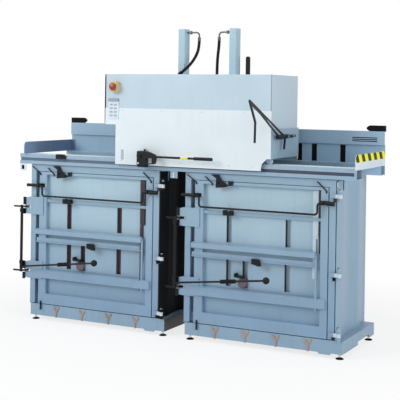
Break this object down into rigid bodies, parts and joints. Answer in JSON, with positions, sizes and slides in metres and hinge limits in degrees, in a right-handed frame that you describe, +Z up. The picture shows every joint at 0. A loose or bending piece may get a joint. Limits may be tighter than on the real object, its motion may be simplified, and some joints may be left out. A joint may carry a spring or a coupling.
{
  "type": "recycling baler",
  "caption": "Recycling baler with side-by-side bale chambers, barred front doors and a hydraulic press head that rolls along rails above them.",
  "frame": {"origin": "on the floor, at the middle of the levelling feet", "axes": "+X to the right along the rails, +Y from the doors to the back wall, +Z up"},
  "size_m": [2.7967, 1.1876, 2.268],
  "materials": {
    "blue_paint": "satin powder coat",
    "pale_paint": "satin powder coat",
    "black_steel": "semi-gloss black paint",
    "black_plastic": "moulded matte",
    "rubber": "matte",
    "zinc_steel": "zinc plated",
    "hook_steel": "yellow passivated",
    "chrome": "hard chrome",
    "yellow_plastic": "gloss",
    "red_plastic": "gloss",
    "brown_plastic": "moulded matte",
    "nylon": "machined nylon",
    "motor_paint": "painted casting"
  },
  "bodies": {
    "frame": {"back_wall": "blue_paint", "end_bumpers": "rubber", "foot_pads": "rubber", "foot_stems": "zinc_steel", "front_rail": "blue_paint", "rear_rail": "blue_paint", "hinge_pins": "zinc_steel", "lock_keepers": "zinc_steel", "rail_stop": "black_steel", "strap_hooks": "hook_steel", "left_side_panel": "blue_paint", "right_side_panel": "blue_paint", "left_base": "blue_paint", "left_chamber": "blue_paint", "left_hinge_column": "blue_paint", "right_base": "blue_paint", "right_chamber": "blue_paint", "right_hinge_column": "blue_paint"},
    "left_door": {"left_door_frame": "blue_paint", "left_door_skin": "blue_paint", "left_door_fittings": "black_steel", "left_lever_rest": "brown_plastic"},
    "left_lock": {"left_lock_shaft": "black_steel", "left_lock_lever": "black_steel", "left_lock_knob": "black_plastic"},
    "left_bow": {"left_bow": "black_steel", "left_bow_grips": "black_plastic"},
    "right_door": {"right_door_frame": "blue_paint", "right_door_skin": "blue_paint", "right_door_fittings": "black_steel", "right_lever_rest": "brown_plastic"},
    "right_lock": {"right_lock_shaft": "black_steel", "right_lock_lever": "black_steel", "right_lock_knob": "black_plastic"},
    "right_bow": {"right_bow": "black_steel", "right_bow_grips": "black_plastic"},
    "press_head": {"head_housing": "blue_paint", "head_front_panel": "pale_paint", "head_carriage": "blue_paint", "left_cylinder": "blue_paint", "right_cylinder": "blue_paint", "hose_fittings": "zinc_steel", "left_hose": "rubber", "right_hose": "rubber", "oil_tank": "blue_paint", "pump_motor": "motor_paint", "breather": "black_plastic", "control_panel": "pale_paint", "stop_button_base": "yellow_plastic", "push_lever_bracket": "black_steel", "side_lever_bracket": "black_steel"},
    "front_left_roller": {"front_left_roller": "nylon"},
    "front_right_roller": {"front_right_roller": "nylon"},
    "rear_left_roller": {"rear_left_roller": "nylon"},
    "rear_right_roller": {"rear_right_roller": "nylon"},
    "platen": {"press_plate": "blue_paint", "piston_rods": "chrome"},
    "stop_button": {"stop_button": "red_plastic"},
    "push_lever": {"push_lever": "black_steel"},
    "side_lever": {"side_lever": "black_steel"}
  },
  "joints": [
    {"name": "left_door_hinge", "type": "hinge", "parent": "frame", "child": "left_door", "pos_m": [-0.1075, -0.362, 0], "axis": [0, 0, 1], "range_deg": [0, 110]},
    {"name": "left_lock_turn", "type": "hinge", "parent": "left_door", "child": "left_lock", "pos_m": [-1.3545, -0.385, 0.4], "axis": [0, 0, -1], "range_deg": [-15, 80]},
    {"name": "left_bow_swing", "type": "hinge", "parent": "left_door", "child": "left_bow", "pos_m": [-0.6825, -0.39, 1.053], "axis": [-1, 0, 0], "range_deg": [0, 150]},
    {"name": "right_door_hinge", "type": "hinge", "parent": "frame", "child": "right_door", "pos_m": [1.2575, -0.362, 0], "axis": [0, 0, 1], "range_deg": [0, 110]},
    {"name": "right_lock_turn", "type": "hinge", "parent": "right_door", "child": "right_lock", "pos_m": [0.0105, -0.385, 0.4], "axis": [0, 0, -1], "range_deg": [-15, 80]},
    {"name": "right_bow_swing", "type": "hinge", "parent": "right_door", "child": "right_bow", "pos_m": [0.6825, -0.39, 1.053], "axis": [-1, 0, 0], "range_deg": [0, 150]},
    {"name": "head_slide", "type": "slide", "parent": "frame", "child": "press_head", "axis": [1, 0, 0], "range_m": [-0.8155, 0.5495]},
    {"name": "front_left_roller_spin", "type": "hinge", "parent": "press_head", "child": "front_left_roller", "pos_m": [-0.467, -0.348, 1.3163], "axis": [0, 1, 0], "continuous": true},
    {"name": "front_right_roller_spin", "type": "hinge", "parent": "press_head", "child": "front_right_roller", "pos_m": [0.732, -0.348, 1.3163], "axis": [0, 1, 0], "continuous": true},
    {"name": "rear_left_roller_spin", "type": "hinge", "parent": "press_head", "child": "rear_left_roller", "pos_m": [-0.449, 0.217, 1.3163], "axis": [0, 1, 0], "continuous": true},
    {"name": "rear_right_roller_spin", "type": "hinge", "parent": "press_head", "child": "rear_right_roller", "pos_m": [0.696, 0.217, 1.3163], "axis": [0, 1, 0], "continuous": true},
    {"name": "platen_slide", "type": "slide", "parent": "press_head", "child": "platen", "axis": [0, 0, 1], "range_m": [-0.19, 0]},
    {"name": "stop_button_push", "type": "slide", "parent": "press_head", "child": "stop_button", "axis": [0, 1, 0], "range_m": [0, 0.006], "stiffness_N_per_m": 1200},
    {"name": "push_lever_swing", "type": "hinge", "parent": "press_head", "child": "push_lever", "pos_m": [-0.247, -0.464, 1.322], "axis": [0, -1, 0], "range_deg": [0, 60]},
    {"name": "side_lever_swing", "type": "hinge", "parent": "press_head", "child": "side_lever", "pos_m": [0.785, -0.205, 1.487], "axis": [1, 0, 0], "range_deg": [-10, 25]}
  ],
  "couplings": [
    {"joint": "front_left_roller_spin", "follows": "head_slide", "rad_per_m": 50},
    {"joint": "front_right_roller_spin", "follows": "head_slide", "rad_per_m": 50},
    {"joint": "rear_left_roller_spin", "follows": "head_slide", "rad_per_m": 50},
    {"joint": "rear_right_roller_spin", "follows": "head_slide", "rad_per_m": 50}
  ]
}
